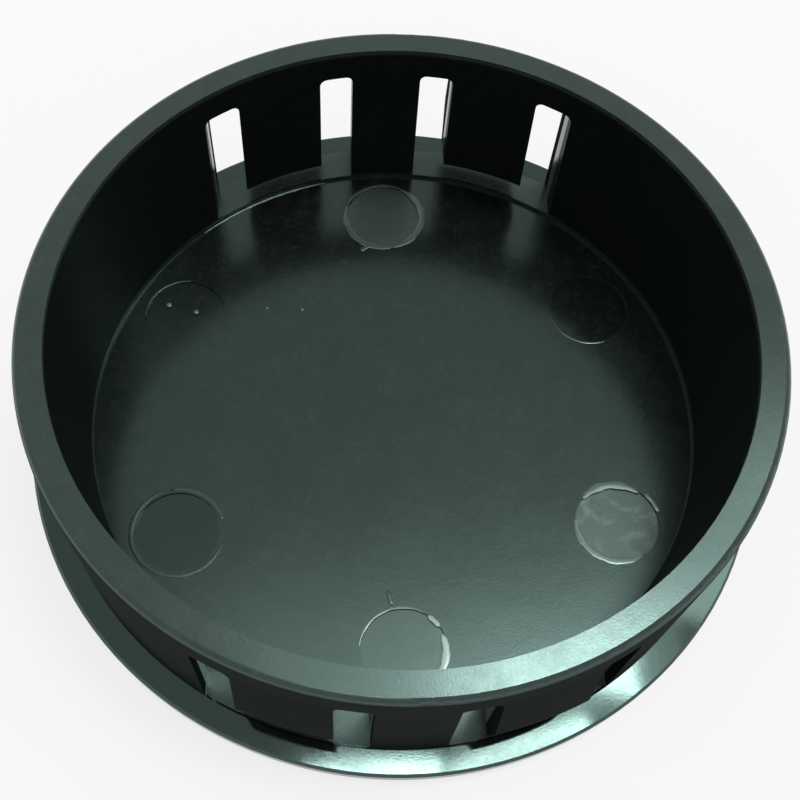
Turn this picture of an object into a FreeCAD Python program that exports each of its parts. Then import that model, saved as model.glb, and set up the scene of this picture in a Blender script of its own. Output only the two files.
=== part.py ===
import FreeCAD, Part

import math
import os

import Sketcher

# Snap-in hole plug, moulded in one piece.
#
# Frame: millimetres, +Z up. The origin is the centre of the head's outer face, which lies on the
# surface, and the open end of the skirt points up. The two groups of tongues face +Y and -Y,
# the ways in which the two side slides of the mould draw off.

NODE = "plug_body"

SIZES = {
    # the hole that the plug closes, and the play of the skirt in it on each side
    "hole_diameter": 50.0,
    "hole_play": 0.25,
    # the thinnest and thickest panels that the tongues lock behind
    "thinnest_panel": 1.6,
    "thickest_panel": 5.2,
    # head, which stands out past the skirt, and whose back falls away towards its edge
    "head_overhang": 1.7,
    "head_thickness": 1.8,
    "head_back_fall": 0.15,
    "head_face_round": 0.8,
    "head_back_break": 0.2,
    # skirt, its height measured up from the head's back; its rim falls outwards a little
    "skirt_height": 12.5,
    "rim_wall": 2.0,
    "rim_slope": 3.0,
    "rim_round": 0.5,
    "inner_draft": 3.1,
    # floor of the cup, a little lower than the head's back
    "floor_thickness": 1.5,
    # windows that free the tongues, under a plain band at the nose
    "nose_band": 2.25,
    "slot_width": 2.4,
    "slot_round": 0.5,
    "post_width": 5.0,
    "tongue_width": 5.95,
    # barb on the outside of each tongue, highest at the thickest panel's back
    "barb_reach": 0.65,
    "barb_land": 0.4,
    # marks that the ejector pins leave on the floor
    "mark_count": 6,
    "mark_inset": 1.06,
    "mark_diameter": 6.0,
    "mark_depth": 0.12,
}


class Size:
    """A value together with the expression that drives it."""

    def __init__(self, value, text):
        self.value = value
        self.text = text

    def __add__(self, other):
        other = as_size(other)
        return Size(self.value + other.value, "(" + self.text + " + " + other.text + ")")

    def __sub__(self, other):
        other = as_size(other)
        return Size(self.value - other.value, "(" + self.text + " - " + other.text + ")")

    def __mul__(self, other):
        other = as_size(other)
        return Size(self.value * other.value, "(" + self.text + " * " + other.text + ")")

    def __truediv__(self, other):
        other = as_size(other)
        return Size(self.value / other.value, "(" + self.text + " / " + other.text + ")")


def as_size(number):
    """A plain number written as a size."""
    return number if isinstance(number, Size) else Size(number, str(number))


def azimuth(sideways, radius):
    """Degrees from the Y direction to a point of a circle that lies this far sideways."""
    angle = math.degrees(math.asin(sideways.value / radius.value))
    return Size(angle, "asin(" + sideways.text + " / " + radius.text + ")")


def slope(angle):
    """Run for each unit of rise of a face that leans from the upright by this many degrees."""
    return Size(math.tan(math.radians(angle.value)), "tan(" + angle.text + " * 1 deg)")


def cell(name):
    """A driving dimension, read from its cell."""
    return Size(SIZES[name], "Sizes." + name)


# places that follow from the driving dimensions
ZERO = Size(0, "0")
QUARTER_TURN = Size(90, "90 deg")
SKIRT_RADIUS = cell("hole_diameter") / 2 - cell("hole_play")
RIM_INNER_RADIUS = SKIRT_RADIUS - cell("rim_wall")
HEAD_RADIUS = SKIRT_RADIUS + cell("head_overhang")
HEAD_BACK = cell("head_thickness")
HEAD_EDGE_BACK = HEAD_BACK - cell("head_back_fall")
FLOOR = cell("floor_thickness")
RIM = HEAD_BACK + cell("skirt_height")
FLOOR_RADIUS = RIM_INNER_RADIUS - (RIM - FLOOR) * slope(cell("inner_draft"))
MARK_REACH = FLOOR_RADIUS - cell("mark_inset") - cell("mark_diameter") / 2
WINDOW_TOP = RIM - cell("nose_band")
TONGUE_END = HEAD_BACK + cell("thinnest_panel")
KNEE = HEAD_BACK + cell("thickest_panel")
INNER_SLOT_START = cell("post_width") / 2
TONGUE_START = INNER_SLOT_START + cell("slot_width")
TONGUE_STOP = TONGUE_START + cell("tongue_width")
OUTER_SLOT_STOP = TONGUE_STOP + cell("slot_width")


def make_sheet(doc):
    """The spreadsheet that holds each driving dimension under its name."""
    sheet = doc.addObject("Spreadsheet::Sheet", "Sizes")
    for row, (name, value) in enumerate(SIZES.items(), start=1):
        sheet.set("A" + str(row), name)
        sheet.set("B" + str(row), str(value))
        sheet.setAlias("B" + str(row), name)
    doc.recompute()


def origin_plane(body, role):
    """The body's own origin plane with this role."""
    return next(item for item in body.Origin.OriginFeatures if item.Role == role)


def make_sketch(body, name, role):
    """An empty sketch on one of the body's origin planes."""
    sketch = body.newObject("Sketcher::SketchObject", name)
    sketch.AttachmentSupport = [(origin_plane(body, role), "")]
    sketch.MapMode = "FlatFace"
    return sketch


def bind(target, path, size):
    """Ties one property or constraint of an object to the sheet."""
    target.setExpression(path, size.text)


def constrain(sketch, name, size, kind, *where):
    """A named dimension of a sketch, tied to the sheet."""
    value = math.radians(size.value) if kind == "Angle" else size.value
    index = sketch.addConstraint(Sketcher.Constraint(kind, *where, value))
    sketch.renameConstraint(index, name)
    bind(sketch, "Constraints." + name, size)


def corner_arc(before, corner, after, radius):
    """The arc that rounds a corner, with the two points where it meets the straight edges."""
    towards_before = (before - corner).normalize()
    towards_after = (after - corner).normalize()
    half_angle = towards_before.getAngle(towards_after) / 2
    trim = radius / math.tan(half_angle)
    inwards = (towards_before + towards_after).normalize()
    centre = corner + inwards * (radius / math.sin(half_angle))
    start = corner + towards_before * trim
    end = corner + towards_after * trim
    return Part.Arc(start, centre - inwards * radius, end), start, end


def draw_outline(sketch, corners):
    """Draws a closed outline whose edge k runs from corner k to the next one.

    A corner is (x, y), or (x, y, size name of its rounding). Returns the edges' numbers.
    """
    points = [FreeCAD.Vector(corner[0].value, corner[1].value, 0) for corner in corners]
    count = len(points)
    starts = list(points)
    ends = list(points)
    arcs = {}
    for index, corner in enumerate(corners):
        if len(corner) == 3:
            before = points[index - 1]
            after = points[(index + 1) % count]
            radius = cell(corner[2]).value
            arcs[index], ends[index], starts[index] = corner_arc(before, points[index], after, radius)
    edges = []
    for index in range(count):
        line = Part.LineSegment(starts[index], ends[(index + 1) % count])
        edges.append(sketch.addGeometry(line, False))
    for index in range(count):
        if index in arcs:
            join_with_arc(sketch, edges[index - 1], edges[index], arcs[index], corners[index][2], index)
        else:
            sketch.addConstraint(Sketcher.Constraint("Coincident", edges[index - 1], 2, edges[index], 1))
    return edges


def join_with_arc(sketch, edge_before, edge_after, arc, radius_name, index):
    """Adds a rounded corner, tangent to the edges on both sides of it."""
    number = sketch.addGeometry(arc, False)
    forwards = sketch.getPoint(number, 1).isEqual(sketch.getPoint(edge_before, 2), 1e-6)
    first, last = (1, 2) if forwards else (2, 1)
    sketch.addConstraint(Sketcher.Constraint("Tangent", edge_before, 2, number, first))
    sketch.addConstraint(Sketcher.Constraint("Tangent", edge_after, 1, number, last))
    constrain(sketch, radius_name + "_" + str(index), cell(radius_name), "Radius", number)


def upright(sketch, name, edge, distance):
    """Stands an edge upright at a distance from the axis."""
    sketch.addConstraint(Sketcher.Constraint("Vertical", edge))
    constrain(sketch, name, distance, "DistanceX", -1, 1, edge, 1)


def level(sketch, name, edge, height):
    """Lays an edge level at a height above the head's outer face."""
    sketch.addConstraint(Sketcher.Constraint("Horizontal", edge))
    constrain(sketch, name, height, "DistanceY", -1, 1, edge, 1)


def make_cup(body):
    """Head, skirt and floor, turned in one piece from their half section."""
    sketch = make_sketch(body, "CupSection", "XZ_Plane")
    edge_break = cell("head_back_break")
    rim_fall = cell("rim_wall") * slope(cell("rim_slope"))
    corners = [
        (ZERO, ZERO),
        (ZERO, FLOOR),
        (FLOOR_RADIUS, FLOOR),
        (RIM_INNER_RADIUS, RIM),
        (SKIRT_RADIUS, RIM - rim_fall, "rim_round"),
        (SKIRT_RADIUS, HEAD_BACK),
        (HEAD_RADIUS - edge_break, HEAD_EDGE_BACK),
        (HEAD_RADIUS, HEAD_EDGE_BACK - edge_break),
        (HEAD_RADIUS, ZERO, "head_face_round"),
    ]
    edges = draw_outline(sketch, corners)
    axis, floor, inner_wall, rim, skirt, head_back, back_break, head_side, head_face = edges
    sketch.addConstraint(Sketcher.Constraint("Coincident", axis, 1, -1, 1))
    sketch.addConstraint(Sketcher.Constraint("Vertical", axis))
    sketch.addConstraint(Sketcher.Constraint("Horizontal", head_face))
    level(sketch, "floor_height", floor, FLOOR)
    constrain(sketch, "floor_radius", FLOOR_RADIUS, "DistanceX", -1, 1, inner_wall, 1)
    constrain(sketch, "rim_inner_radius", RIM_INNER_RADIUS, "DistanceX", -1, 1, inner_wall, 2)
    constrain(sketch, "rim_height", RIM, "DistanceY", -1, 1, rim, 1)
    constrain(sketch, "rim_angle", ZERO - cell("rim_slope"), "Angle", rim)
    upright(sketch, "skirt_radius", skirt, SKIRT_RADIUS)
    constrain(sketch, "head_back_height", HEAD_BACK, "DistanceY", -1, 1, head_back, 1)
    constrain(sketch, "edge_back_height", HEAD_EDGE_BACK, "DistanceY", -1, 1, back_break, 1)
    constrain(sketch, "break_radius", HEAD_RADIUS - edge_break, "DistanceX", -1, 1, back_break, 1)
    constrain(sketch, "break_height", HEAD_EDGE_BACK - edge_break, "DistanceY", -1, 1, back_break, 2)
    upright(sketch, "head_radius", head_side, HEAD_RADIUS)
    cup = body.newObject("PartDesign::Revolution", "Cup")
    cup.Profile = sketch
    cup.ReferenceAxis = (sketch, ["V_Axis"])
    cup.Angle = 360
    return cup


def make_barb(body):
    """The barb of one tongue, turned from the middle of one slot to the middle of the next."""
    root = SKIRT_RADIUS - cell("rim_wall") / 2
    tip = SKIRT_RADIUS + cell("barb_reach")
    land_top = KNEE + cell("barb_land")
    first = azimuth(TONGUE_START - cell("slot_width") / 2, SKIRT_RADIUS)
    last = azimuth(TONGUE_STOP + cell("slot_width") / 2, SKIRT_RADIUS)
    sketch = make_sketch(body, "BarbSection", "XZ_Plane")
    turn_about_axis = FreeCAD.Rotation(FreeCAD.Vector(0, 1, 0), 1)
    sketch.AttachmentOffset = FreeCAD.Placement(FreeCAD.Vector(0, 0, 0), turn_about_axis)
    bind(sketch, "AttachmentOffset.Rotation.Angle", QUARTER_TURN - (first + last) / 2)
    corners = [
        (root, TONGUE_END),
        (SKIRT_RADIUS, TONGUE_END),
        (tip, KNEE),
        (tip, land_top),
        (SKIRT_RADIUS, WINDOW_TOP),
        (root, WINDOW_TOP),
    ]
    edges = draw_outline(sketch, corners)
    end, lock, land, ramp, top, back = edges
    level(sketch, "end_height", end, TONGUE_END)
    constrain(sketch, "end_radius", SKIRT_RADIUS, "DistanceX", -1, 1, end, 2)
    constrain(sketch, "knee_height", KNEE, "DistanceY", -1, 1, land, 1)
    upright(sketch, "tip_radius", land, tip)
    constrain(sketch, "land_top", land_top, "DistanceY", -1, 1, land, 2)
    constrain(sketch, "ramp_top_radius", SKIRT_RADIUS, "DistanceX", -1, 1, ramp, 2)
    level(sketch, "top_height", top, WINDOW_TOP)
    upright(sketch, "root_radius", back, root)
    barb = body.newObject("PartDesign::Revolution", "Barb")
    barb.Profile = sketch
    barb.ReferenceAxis = (sketch, ["V_Axis"])
    barb.Midplane = True
    bind(barb, "Angle", last - first)
    return barb


def make_window(body):
    """The window that frees one tongue: a slot on each side of it and a gap under its end."""
    sketch = make_sketch(body, "WindowOutline", "XZ_Plane")
    corners = [
        (INNER_SLOT_START, HEAD_BACK),
        (OUTER_SLOT_STOP, HEAD_BACK),
        (OUTER_SLOT_STOP, WINDOW_TOP, "slot_round"),
        (TONGUE_STOP, WINDOW_TOP, "slot_round"),
        (TONGUE_STOP, TONGUE_END),
        (TONGUE_START, TONGUE_END),
        (TONGUE_START, WINDOW_TOP, "slot_round"),
        (INNER_SLOT_START, WINDOW_TOP, "slot_round"),
    ]
    edges = draw_outline(sketch, corners)
    sill, outer_side, outer_top, tongue_outer, tongue_end, tongue_inner, inner_top, inner_side = edges
    level(sketch, "sill_height", sill, HEAD_BACK)
    upright(sketch, "outer_slot_stop", outer_side, OUTER_SLOT_STOP)
    level(sketch, "outer_slot_top", outer_top, WINDOW_TOP)
    upright(sketch, "tongue_stop", tongue_outer, TONGUE_STOP)
    level(sketch, "tongue_end", tongue_end, TONGUE_END)
    upright(sketch, "tongue_start", tongue_inner, TONGUE_START)
    level(sketch, "inner_slot_top", inner_top, WINDOW_TOP)
    upright(sketch, "inner_slot_start", inner_side, INNER_SLOT_START)
    window = body.newObject("PartDesign::Pocket", "Window")
    window.Profile = sketch
    bind(window, "Length", HEAD_RADIUS)
    return window


def mirror_tongue(body, barb, window):
    """Repeats the first tongue on the other side of its post, and both on the far side."""
    group = body.newObject("PartDesign::MultiTransform", "Tongues")
    group.Originals = [barb, window]
    mirrors = []
    for name, role in (("AcrossPost", "YZ_Plane"), ("AcrossCup", "XZ_Plane")):
        mirror = body.newObject("PartDesign::Mirrored", name)
        mirror.MirrorPlane = (origin_plane(body, role), [""])
        mirrors.append(mirror)
    group.Transformations = mirrors
    body.Tip = group
    return group


def make_marks(body):
    """The shallow round marks of the ejector pins on the floor."""
    sketch = make_sketch(body, "MarkOutline", "XY_Plane")
    bind(sketch, "AttachmentOffset.Base.z", FLOOR)
    radius = cell("mark_diameter") / 2
    centre = FreeCAD.Vector(0, MARK_REACH.value, 0)
    circle = sketch.addGeometry(Part.Circle(centre, FreeCAD.Vector(0, 0, 1), radius.value), False)
    sketch.addConstraint(Sketcher.Constraint("PointOnObject", circle, 3, -2))
    constrain(sketch, "centre_distance", MARK_REACH, "DistanceY", -1, 1, circle, 3)
    constrain(sketch, "mark_radius", radius, "Radius", circle)
    mark = body.newObject("PartDesign::Pocket", "Mark")
    mark.Profile = sketch
    bind(mark, "Length", cell("mark_depth"))
    pattern = body.newObject("PartDesign::PolarPattern", "Marks")
    pattern.Originals = [mark]
    pattern.Axis = (sketch, ["N_Axis"])
    pattern.Angle = 360
    bind(pattern, "Occurrences", cell("mark_count"))
    body.Tip = pattern
    return pattern


def make_plug(doc):
    """The whole plug as one body."""
    body = doc.addObject("PartDesign::Body", "Plug")
    body.Label = NODE
    make_cup(body)
    barb = make_barb(body)
    window = make_window(body)
    doc.recompute()
    mirror_tongue(body, barb, window)
    doc.recompute()
    make_marks(body)
    doc.recompute()
    return body


def check(doc, body):
    """Stops the build if anything in the document failed."""
    for item in doc.Objects:
        if "Invalid" in item.State or "Error" in item.State:
            raise RuntimeError(item.Name + " failed: " + str(item.State))
    shape = body.Shape
    if shape.isNull() or not shape.isValid() or len(shape.Solids) != 1:
        raise RuntimeError("the plug is not one valid solid")


doc = FreeCAD.newDocument("HolePlug")
make_sheet(doc)
plug = make_plug(doc)
check(doc, plug)
os.makedirs("parts", exist_ok=True)
plug.Shape.exportStep("parts/" + NODE + ".step")
print(NODE, round(plug.Shape.Volume, 2), "mm3", plug.Shape.BoundBox)
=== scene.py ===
import math

import bpy
from mathutils import Matrix, Vector


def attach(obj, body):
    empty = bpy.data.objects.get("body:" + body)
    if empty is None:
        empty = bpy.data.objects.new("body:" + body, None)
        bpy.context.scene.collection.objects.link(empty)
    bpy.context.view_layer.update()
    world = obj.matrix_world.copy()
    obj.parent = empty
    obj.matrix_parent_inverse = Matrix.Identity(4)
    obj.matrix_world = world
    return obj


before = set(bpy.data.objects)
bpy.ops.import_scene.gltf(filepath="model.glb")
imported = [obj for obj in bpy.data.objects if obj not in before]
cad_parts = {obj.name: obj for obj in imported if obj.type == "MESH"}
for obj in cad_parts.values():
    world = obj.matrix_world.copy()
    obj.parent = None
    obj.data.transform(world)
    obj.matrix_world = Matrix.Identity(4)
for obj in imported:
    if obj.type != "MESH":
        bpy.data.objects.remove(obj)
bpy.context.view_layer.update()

scene = bpy.context.scene
scene.view_settings.view_transform = "Standard"

# Lengths are in millimetres and angles in degrees, except where a comment says otherwise
MM = 0.001

# Sizes of the plug, as its source has them
FLOOR_TOP = 1.5
FLOOR_RADIUS = 22.06
MARK_DISTANCE = 18.0
MARK_RADIUS = 3.0
MARK_ANGLES = (90, 30, -30, -90, -150, 150)


# Camera, fitted to the photo

CAMERA_PLACE = (-5.053, -38.795, 75.260)
CAMERA_TURN = (23.961, -0.658, -1.520)
CAMERA_LENS = 50.58
CAMERA_SENSOR = 36
# In parts of the picture's width
CAMERA_SHIFT = (0.0625, 0.1125)
# In metres
CAMERA_CLIP = (0.005, 20)


def make_camera():
    data = bpy.data.cameras.new("camera")
    data.lens = CAMERA_LENS
    data.sensor_width = CAMERA_SENSOR
    data.shift_x, data.shift_y = CAMERA_SHIFT
    data.clip_start, data.clip_end = CAMERA_CLIP
    camera = bpy.data.objects.new("camera", data)
    camera.location = [value * MM for value in CAMERA_PLACE]
    camera.rotation_euler = [math.radians(angle) for angle in CAMERA_TURN]
    scene.collection.objects.link(camera)
    scene.camera = camera


# Node helpers

# Half the width of the soft step at an edge
EDGE_BLUR = 0.05


def new_material(name):
    material = bpy.data.materials.new(name)
    material.use_nodes = True
    tree = material.node_tree
    tree.nodes.clear()
    output = tree.nodes.new("ShaderNodeOutputMaterial")
    return material, tree, output


def feed(tree, socket, value):
    if isinstance(value, bpy.types.NodeSocket):
        tree.links.new(value, socket)
    else:
        socket.default_value = value


def calc(tree, operation, *values):
    node = tree.nodes.new("ShaderNodeMath")
    node.operation = operation
    for socket, value in zip(node.inputs, values):
        feed(tree, socket, value)
    return node.outputs["Value"]


def above(tree, value, edge, blur=EDGE_BLUR):
    """0 below the edge and 1 above it, with a soft step twice the blur wide."""
    node = tree.nodes.new("ShaderNodeMapRange")
    node.interpolation_type = "SMOOTHSTEP"
    node.inputs["From Min"].default_value = edge - blur
    node.inputs["From Max"].default_value = edge + blur
    feed(tree, node.inputs["Value"], value)
    return node.outputs["Result"]


def below(tree, value, edge, blur=EDGE_BLUR):
    return calc(tree, "SUBTRACT", 1.0, above(tree, value, edge, blur))


def blend(tree, share, first, second):
    node = tree.nodes.new("ShaderNodeMix")
    feed(tree, node.inputs["Factor"], share)
    feed(tree, node.inputs["A"], first)
    feed(tree, node.inputs["B"], second)
    return node.outputs["Result"]


def distance(tree, x, y):
    squares = [calc(tree, "MULTIPLY", side, side) for side in (x, y)]
    return calc(tree, "SQRT", calc(tree, "ADD", *squares))


def mix_shaders(tree, output, share, first, second):
    """Gives the material the first shader, with a share of the second."""
    mix = tree.nodes.new("ShaderNodeMixShader")
    tree.links.new(share, mix.inputs["Fac"])
    tree.links.new(first, mix.inputs[1])
    tree.links.new(second, mix.inputs[2])
    tree.links.new(mix.outputs["Shader"], output.inputs["Surface"])


# Plastic

# Height under which the cup's floor, the ledge under the windows and the head's back lie
LOW = 2.0
# Finish of the cup's floor: roughness, paleness, share of the matte shader
FLOOR_FINISH = (0.20, 0.004, 0.0)
# Zones laid over it in this order: between which radii and heights, blur of the edges, finish
ZONES = {
    # The ledge under the windows is made paler than the rest of the plastic: painted light on it
    "sill": ((22.2, 24.6), (None, LOW), EDGE_BLUR, (0.27, 0.036, 0.0)),
    "wall": ((None, 23.2), (1.9, None), EDGE_BLUR, (0.22, 0.005, 0.75)),
    "outside": ((24.0, None), (LOW, None), EDGE_BLUR, (0.70, 0.003, 0.80)),
    "head_back": ((24.6, None), (None, LOW), EDGE_BLUR, (0.075, 0.006, 0.0)),
    "rim": ((None, None), (13.95, None), 0.12, (0.21, 0.022, 0.0)),
}
# What each ejector mark, from the first to the sixth, adds to the floor's roughness and paleness; the
# paleness is painted light that makes some discs lighter and one darker than the floor
MARK_ROUGHNESS_AND_PAINTED_LIGHT = ((0.16, 0.030), (-0.04, 0.0), (0.14, 0.034), (0.05, 0.030), (-0.05, -0.008), (0.02, 0.0))
SCUFFED_MARK = 3

# Noise patterns: size of the patches, detail, roughness
PATTERNS = {
    "mottle": (3.0, 3, 0.55),
    "grain": (0.16, 2, 0.55),
    "rim_patches": (0.7, 2, 0.55),
    "scuffs": (1.3, 4, 0.55),
    "bloom": (1.1, 4, 0.7),
    "specks": (0.34, 1, 0.55),
    "wave": (2.4, 2, 0.55),
}
# What they add to the roughness
MOTTLE_ROUGH = 0.07
GRAIN_ROUGH = 0.06
RIM_ROUGH = 0.08
# What they add to the paleness, the first two as a share of it
MOTTLE_SHADE = 0.5
GRAIN_SHADE = 0.5
SCUFFS_PALE = 0.70
BLOOM_PALE = 0.045
SPECKS_PALE = 0.012
# Level of the pattern above which there is a speck of dust, and its blur
SPECKS_EDGE = 0.19
SPECKS_BLUR = 0.07
# What they add to the height, and the share of it that is missing on the head's back
WAVE_HEIGHT = 0.005
GRAIN_HEIGHT = 0.003
HEAD_BACK_POLISH = 0.8

# Parts of the paleness in each channel, and the tint of the reflections
TINT = {"Red": 0.84, "Green": 1.0, "Blue": 0.95}
SHEEN = (0.65, 1.0, 0.91, 1)


def mark_centre(number):
    angle = math.radians(MARK_ANGLES[number - 1])
    return MARK_DISTANCE * math.cos(angle), MARK_DISTANCE * math.sin(angle)


def place_in_mm(tree):
    scaled = tree.nodes.new("ShaderNodeVectorMath")
    scaled.operation = "SCALE"
    scaled.inputs["Scale"].default_value = 1 / MM
    tree.links.new(tree.nodes.new("ShaderNodeTexCoord").outputs["Object"], scaled.inputs[0])
    return scaled.outputs["Vector"]


def noise(tree, coords, pattern):
    """Noise around 0."""
    size, detail, roughness = PATTERNS[pattern]
    node = tree.nodes.new("ShaderNodeTexNoise")
    node.inputs["Scale"].default_value = 1 / size
    node.inputs["Detail"].default_value = detail
    node.inputs["Roughness"].default_value = roughness
    tree.links.new(coords, node.inputs["Vector"])
    return calc(tree, "SUBTRACT", node.outputs["Fac"], 0.5)


def zone_mask(tree, radius, height, radii, heights, blur):
    """1 in a zone and 0 outside it. A limit that is None is left open."""
    mask = 1.0
    for value, (least, greatest) in ((radius, radii), (height, heights)):
        if least is not None:
            mask = calc(tree, "MULTIPLY", mask, above(tree, value, least, blur))
        if greatest is not None:
            mask = calc(tree, "MULTIPLY", mask, below(tree, value, greatest, blur))
    return mask


def make_plastic():
    material, tree, output = new_material("black_plastic")
    coords = place_in_mm(tree)
    split = tree.nodes.new("ShaderNodeSeparateXYZ")
    tree.links.new(coords, split.inputs["Vector"])
    x, y, z = (split.outputs[axis] for axis in "XYZ")
    radius = distance(tree, x, y)

    masks = {}
    finish = FLOOR_FINISH
    for zone, (radii, heights, blur, zone_finish) in ZONES.items():
        masks[zone] = zone_mask(tree, radius, z, radii, heights, blur)
        finish = [blend(tree, masks[zone], old, new) for old, new in zip(finish, zone_finish)]
    rough, pale, dull = finish

    low = below(tree, z, LOW)
    for number, (rougher, painted_light) in enumerate(MARK_ROUGHNESS_AND_PAINTED_LIGHT, 1):
        centre_x, centre_y = mark_centre(number)
        away = distance(tree, calc(tree, "SUBTRACT", x, centre_x), calc(tree, "SUBTRACT", y, centre_y))
        inside = calc(tree, "MULTIPLY", below(tree, away, MARK_RADIUS - EDGE_BLUR), low)
        rough = calc(tree, "MULTIPLY_ADD", inside, rougher, rough)
        # Painted light: the marks' discs lighter or darker than the floor round them
        pale = calc(tree, "MULTIPLY_ADD", inside, painted_light, pale)
        if number == SCUFFED_MARK:
            scuffs = calc(tree, "MAXIMUM", noise(tree, coords, "scuffs"), 0.0)
            pale = calc(tree, "MULTIPLY_ADD", calc(tree, "MULTIPLY", scuffs, inside), SCUFFS_PALE, pale)

    mottle = noise(tree, coords, "mottle")
    grain = noise(tree, coords, "grain")
    rough = calc(tree, "MULTIPLY_ADD", grain, GRAIN_ROUGH, rough)
    rough = calc(tree, "MULTIPLY_ADD", mottle, MOTTLE_ROUGH, rough)
    patches = calc(tree, "MULTIPLY", noise(tree, coords, "rim_patches"), masks["rim"])
    rough = calc(tree, "MULTIPLY_ADD", patches, RIM_ROUGH, rough)

    shade = calc(tree, "MULTIPLY_ADD", grain, GRAIN_SHADE, 1.0)
    shade = calc(tree, "MULTIPLY_ADD", mottle, MOTTLE_SHADE, shade)
    # The small pieces' own paleness: painted highlights on the flash, its tails and the foot line, and the
    # paler beads
    own_pale = tree.nodes.new("ShaderNodeAttribute")
    own_pale.attribute_name = "pale"
    pale = calc(tree, "MULTIPLY_ADD", pale, shade, own_pale.outputs["Fac"])

    # Dust lies where the plastic is neither matte nor on the sill
    bloom = calc(tree, "MAXIMUM", noise(tree, coords, "bloom"), 0.0)
    specks = above(tree, noise(tree, coords, "specks"), SPECKS_EDGE, SPECKS_BLUR)
    dust = calc(tree, "MULTIPLY_ADD", specks, SPECKS_PALE, calc(tree, "MULTIPLY", bloom, BLOOM_PALE))
    dusty = calc(tree, "SUBTRACT", 1.0, calc(tree, "ADD", dull, masks["sill"]))
    pale = calc(tree, "MULTIPLY_ADD", dust, calc(tree, "MAXIMUM", dusty, 0.0), pale)
    colour = tree.nodes.new("ShaderNodeCombineColor")
    for channel, part in TINT.items():
        tree.links.new(calc(tree, "MULTIPLY", pale, part), colour.inputs[channel])

    height = calc(tree, "MULTIPLY", grain, GRAIN_HEIGHT)
    height = calc(tree, "MULTIPLY_ADD", noise(tree, coords, "wave"), WAVE_HEIGHT, height)
    height = calc(tree, "MULTIPLY", height,
                  calc(tree, "MULTIPLY_ADD", masks["head_back"], -HEAD_BACK_POLISH, 1.0))
    bump = tree.nodes.new("ShaderNodeBump")
    bump.inputs["Strength"].default_value = 1.0
    bump.inputs["Distance"].default_value = MM
    tree.links.new(height, bump.inputs["Height"])

    glossy = tree.nodes.new("ShaderNodeBsdfPrincipled")
    glossy.inputs["IOR"].default_value = 1.5
    glossy.inputs["Specular IOR Level"].default_value = 1.0
    glossy.inputs["Specular Tint"].default_value = SHEEN
    tree.links.new(colour.outputs["Color"], glossy.inputs["Base Color"])
    tree.links.new(rough, glossy.inputs["Roughness"])
    tree.links.new(bump.outputs["Normal"], glossy.inputs["Normal"])
    matte = tree.nodes.new("ShaderNodeBsdfDiffuse")
    tree.links.new(colour.outputs["Color"], matte.inputs["Color"])
    mix_shaders(tree, output, dull, glossy.outputs["BSDF"], matte.outputs["BSDF"])
    return material


# Small forms on the cup's floor

# How deep their edges are sunk into the floor
SUNK = 0.03
# Points across a ridge, in parts of half its width
RIDGE_STEPS = (-1.0, -0.8, -0.5, -0.17, 0.17, 0.5, 0.8, 1.0)
# Part of a ridge's length over which each end narrows, and the least value before the root is taken
RIDGE_TAPER = 0.25
RIDGE_END = 0.06
# Waves in a ridge's width: share of the width, and the sine's turn for each point and first turn in radians
RIDGE_WAVES = ((0.06, 2.3, 0.0), (0.12, 0.9, 1.0))
# Degrees between the points of an arc of flash, and the fewest steps of a ridge
ARC_STEP = 4
FEWEST_STEPS = 8

# Flash at the ejector marks: mark, distance from its centre, first and last angle, width, height, paleness,
# which is a painted highlight
FLASH_WITH_PAINTED_HIGHLIGHTS = (
    (1, 3.05, -80, 62, 0.52, 0.026, 0.085),
    (1, 3.10, 60, 160, 0.26, 0.016, 0.045),
    (1, 3.05, 156, 284, 0.46, 0.020, 0.070),
    (2, 3.12, 198, 290, 0.24, 0.018, 0.030),
    (3, 2.95, 50, 140, 0.62, 0.024, 0.14),
    (3, 3.22, 12, 46, 0.50, 0.030, 0.10),
    (3, 2.95, 172, 304, 0.50, 0.020, 0.14),
    (4, 2.86, -42, 22, 0.52, 0.024, 0.60),
    (4, 2.98, 33, 54, 0.36, 0.022, 0.50),
    (4, 3.06, 58, 176, 0.22, 0.016, 0.16),
    (5, 3.28, 14, 100, 0.34, 0.012, 0.030),
    (5, 3.28, 108, 345, 0.34, 0.012, 0.020),
    (6, 3.10, 84, 180, 0.26, 0.018, 0.020),
)
# Short tails of plastic beside marks 1 and 4: start, end, width, height, paleness, which is a painted
# highlight
TAILS_WITH_PAINTED_HIGHLIGHTS = (
    ((-1.15, 15.25), (-1.95, 14.7), 0.34, 0.025, 0.05),
    ((-0.70, -14.8), (-0.95, -13.7), 0.34, 0.025, 0.05),
)
# Small beads on the cup's floor, paler than the floor round them: place, radius, height, paleness
BEADS = (
    ((-16.91, 9.90), 0.22, 0.08, 0.16),
    ((-14.81, 9.22), 0.22, 0.08, 0.14),
    ((-9.34, 9.48), 0.16, 0.05, 0.08),
    ((-6.64, 9.34), 0.16, 0.05, 0.08),
)
BEAD_SIDES = 16
# Rings of a bead above the floor, in parts of its radius and of its height
BEAD_RINGS = ((0.95, 0.3), (0.75, 0.66), (0.4, 0.92))
# A low ridge at the foot of the wall, made bright by a painted highlight: distance from the axis, first and
# last angle, steps
FOOT_LINE = (FLOOR_RADIUS - 0.12, 102, 131, 60)
FOOT_LINE_WIDTH = 0.24
FOOT_LINE_HEIGHT = 0.06
# Paleness of the ridge, which is a painted highlight
FOOT_LINE_PAINTED_HIGHLIGHT = 0.10


def arc(centre, radius, start, end, steps):
    middle_x, middle_y = centre
    angles = [math.radians(start + (end - start) * step / steps) for step in range(steps + 1)]
    return [(middle_x + radius * math.cos(angle), middle_y + radius * math.sin(angle)) for angle in angles]


def ridge_section(width, height):
    """Points across a low ridge, as (offset, height above the floor)."""
    half = width / 2
    top = [(half * step, height * (1 - step * step)) for step in RIDGE_STEPS]
    return [(-half, -SUNK)] + top + [(half, -SUNK)]


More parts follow.
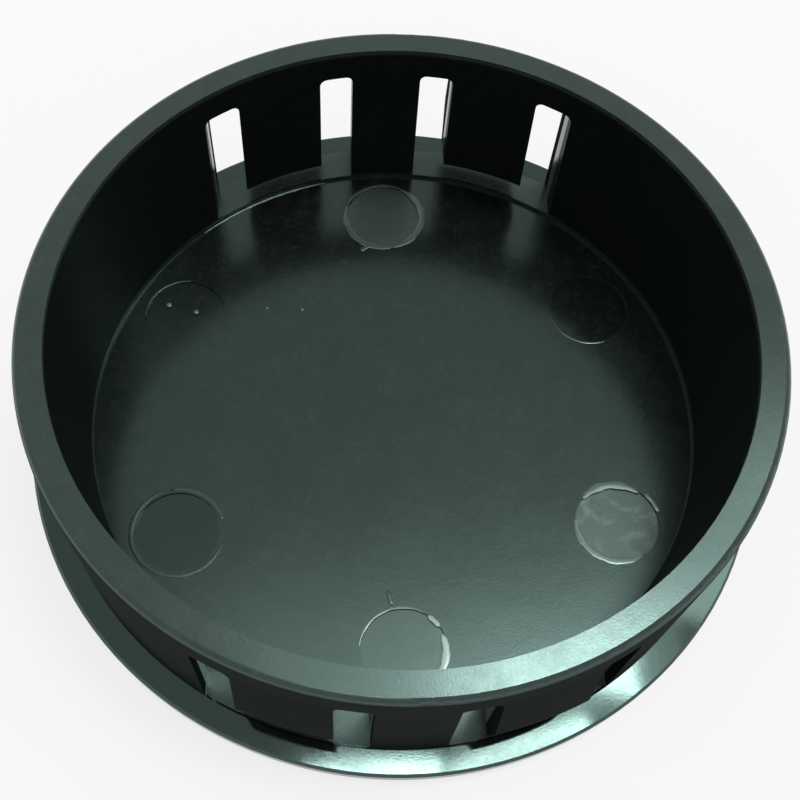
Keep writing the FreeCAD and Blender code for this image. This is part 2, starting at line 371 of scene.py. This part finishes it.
def add_rings(vertices, faces, centre, rings, sides):
    """Rings of points, as (radius, height) from the widest in, and faces between them that look up."""
    first = len(vertices)
    for radius, height in rings:
        for side in range(sides):
            angle = 2 * math.pi * side / sides
            vertices.append(((centre[0] + radius * math.cos(angle)) * MM,
                             (centre[1] + radius * math.sin(angle)) * MM, height * MM))
    for outer in range(first, first + (len(rings) - 1) * sides, sides):
        inner = outer + sides
        for side in range(sides):
            following = (side + 1) % sides
            faces.append((outer + side, outer + following, inner + following, inner + side))


class Shape:
    """The vertices, faces and paleness of one small piece."""

    def __init__(self):
        self.vertices = []
        self.faces = []
        self.pale = []

    def tint(self, pale):
        """Gives the vertices that have none yet their paleness."""
        self.pale += [pale] * (len(self.vertices) - len(self.pale))

    def add_ridge(self, path, width, height, pale):
        """A low rounded ridge along a path of (x, y) points, which narrows towards both ends."""
        first = len(self.vertices)
        count = len(path)
        for index, point in enumerate(path):
            before = path[max(index - 1, 0)]
            after = path[min(index + 1, count - 1)]
            along = (Vector(after) - Vector(before)).normalized()
            across = Vector((along.y, -along.x))
            share = index / (count - 1)
            taper = max(RIDGE_END, min(1.0, min(share, 1 - share) / RIDGE_TAPER)) ** 0.5
            uneven = 1 + sum(part * math.sin(turn * index + start) for part, turn, start in RIDGE_WAVES)
            for offset, rise in ridge_section(width * taper * uneven, height * taper):
                spot = Vector(point) + across * offset
                self.vertices.append((spot.x * MM, spot.y * MM, (FLOOR_TOP + rise) * MM))
        size = len(RIDGE_STEPS) + 2
        last = first + (count - 1) * size
        for here in range(first, last, size):
            there = here + size
            for corner in range(size):
                following = (corner + 1) % size
                self.faces.append((here + corner, here + following, there + following, there + corner))
        self.faces.append(tuple(first + corner for corner in reversed(range(size))))
        self.faces.append(tuple(last + corner for corner in range(size)))
        self.tint(pale)

    def add_bead(self, place, radius, height, pale):
        """A small round bead that stands on the cup's floor."""
        first = len(self.vertices)
        rings = [(radius, FLOOR_TOP - SUNK)]
        rings += [(radius * width, FLOOR_TOP + height * rise) for width, rise in BEAD_RINGS]
        add_rings(self.vertices, self.faces, place, rings, BEAD_SIDES)
        top = len(self.vertices)
        last = top - BEAD_SIDES
        self.vertices.append((place[0] * MM, place[1] * MM, (FLOOR_TOP + height) * MM))
        for side in range(BEAD_SIDES):
            self.faces.append((last + side, last + (side + 1) % BEAD_SIDES, top))
        self.faces.append(tuple(first + side for side in reversed(range(BEAD_SIDES))))
        self.tint(pale)

    def make(self, name, material):
        mesh = bpy.data.meshes.new(name)
        mesh.from_pydata(self.vertices, [], self.faces)
        mesh.polygons.foreach_set("use_smooth", [True] * len(mesh.polygons))
        mesh.attributes.new("pale", "FLOAT", "POINT").data.foreach_set("value", self.pale)
        mesh.materials.append(material)
        piece = bpy.data.objects.new(name, mesh)
        scene.collection.objects.link(piece)
        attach(piece, "root")


def make_details(material):
    flash_and_highlights = Shape()
    # The paleness of the flash and its tails is a painted highlight
    for number, away, start, end, width, height, pale in FLASH_WITH_PAINTED_HIGHLIGHTS:
        steps = max(FEWEST_STEPS, int((end - start) / ARC_STEP))
        flash_and_highlights.add_ridge(arc(mark_centre(number), away, start, end, steps), width, height, pale)
    for start, end, width, height, pale in TAILS_WITH_PAINTED_HIGHLIGHTS:
        shares = [step / FEWEST_STEPS for step in range(FEWEST_STEPS + 1)]
        path = [tuple(Vector(start).lerp(Vector(end), share)) for share in shares]
        flash_and_highlights.add_ridge(path, width, height, pale)
    flash_and_highlights.make("mark_flash_painted_highlights", material)
    beads = Shape()
    for bead in BEADS:
        beads.add_bead(*bead)
    beads.make("floor_beads", material)
    foot_highlight = Shape()
    foot_highlight.add_ridge(arc((0, 0), *FOOT_LINE), FOOT_LINE_WIDTH, FOOT_LINE_HEIGHT, FOOT_LINE_PAINTED_HIGHLIGHT)
    foot_highlight.make("foot_line_painted_highlight", material)


# Floor and light

WHITE = (1, 1, 1, 1)
# How the floor curves up into the backdrop, from its edge inwards: distance from the plug, height
COVE = ((1480, 380), (1460, 260), (1410, 150), (1320, 70), (1200, 20), (1050, 0), (1000, 0))
COVE_SIDES = 96
FLOOR_COLOUR = (0.90, 0.90, 0.90, 1)
# Share of plain white in what is seen of the floor
FLOOR_WHITE = 0.75
ROOM_LIGHT = 0.56
# In metres
LAMP_DISTANCE = 2.0
CUP_MIDDLE = (0, 0, 7)
# Lamps: left, right, near and far edge, brightness, point that they light, turn
LAMPS = {
    "key": (0.12, 0.39, 0.06, 0.185, 17.4, CUP_MIDDLE, 0),
    "fill": (-0.13, 0.46, 0.03, 0.31, 1.4, CUP_MIDDLE, 0),
    "side": (0.40, 0.64, 0.14, 0.38, 3.2, CUP_MIDDLE, 0),
    "strip": (-0.088, 0.112, -0.036, -0.020, 30.0, (0, -25.6, 1.7), 0),
    "edge_strip": (0.112, 0.322, -0.012, 0.008, 18.0, (6, -25.0, 1.7), 18),
}


def seen_share(tree, share):
    """The share for what the camera sees, directly, in a reflection or through glass, and 0 elsewhere."""
    path = tree.nodes.new("ShaderNodeLightPath")
    seen = calc(tree, "MAXIMUM", path.outputs["Is Camera Ray"], path.outputs["Is Glossy Ray"])
    seen = calc(tree, "MAXIMUM", seen, path.outputs["Is Transmission Ray"])
    return calc(tree, "MULTIPLY", seen, share)


def make_floor():
    corners = []
    faces = []
    add_rings(corners, faces, (0, 0), COVE, COVE_SIDES)
    faces.append(tuple(range(len(corners) - COVE_SIDES, len(corners))))
    mesh = bpy.data.meshes.new("floor")
    mesh.from_pydata(corners, [], faces)
    mesh.polygons.foreach_set("use_smooth", [True] * len(mesh.polygons))
    material, tree, output = new_material("pale_floor")
    matte = tree.nodes.new("ShaderNodeBsdfDiffuse")
    matte.inputs["Color"].default_value = FLOOR_COLOUR
    glow = tree.nodes.new("ShaderNodeEmission")
    glow.inputs["Color"].default_value = WHITE
    glow.inputs["Strength"].default_value = 1.0
    seen = seen_share(tree, FLOOR_WHITE)
    mix_shaders(tree, output, seen, matte.outputs["BSDF"], glow.outputs["Emission"])
    mesh.materials.append(material)
    floor = bpy.data.objects.new("floor", mesh)
    scene.collection.objects.link(floor)


def make_world():
    world = bpy.data.worlds.new("studio")
    world.use_nodes = True
    tree = world.node_tree
    tree.nodes.clear()
    output = tree.nodes.new("ShaderNodeOutputWorld")
    room = tree.nodes.new("ShaderNodeBackground")
    room.inputs["Color"].default_value = WHITE
    room.inputs["Strength"].default_value = ROOM_LIGHT
    tree.links.new(room.outputs["Background"], output.inputs["Surface"])
    scene.world = world


def make_lamp(name, left, right, near, far, brightness, aim, turn):
    """A soft box that fills a patch of the sky above the aim point.

    The edges of the patch are in parts of the radius of a dome over that point, seen from above.
    """
    across = (left + right) / 2
    along = (near + far) / 2
    towards = Vector((across, along, math.sqrt(1 - across ** 2 - along ** 2)))
    side = Vector((math.cos(math.radians(turn)), math.sin(math.radians(turn)), 0))
    side = (side - towards * towards.dot(side)).normalized()
    data = bpy.data.lights.new(name, "AREA")
    data.shape = "RECTANGLE"
    data.size = (right - left) * LAMP_DISTANCE
    data.size_y = (far - near) * LAMP_DISTANCE
    data.energy = brightness * math.pi * data.size * data.size_y
    lamp = bpy.data.objects.new(name, data)
    lamp.location = Vector(aim) * MM + towards * LAMP_DISTANCE
    lamp.rotation_euler = Matrix((side, towards.cross(side), towards)).transposed().to_euler()
    scene.collection.objects.link(lamp)


make_camera()
plastic = make_plastic()
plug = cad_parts["plug_body"]
plug.data.materials.clear()
plug.data.materials.append(plastic)
make_details(plastic)
make_floor()
make_world()
for lamp_name, lamp_values in LAMPS.items():
    make_lamp(lamp_name, *lamp_values)
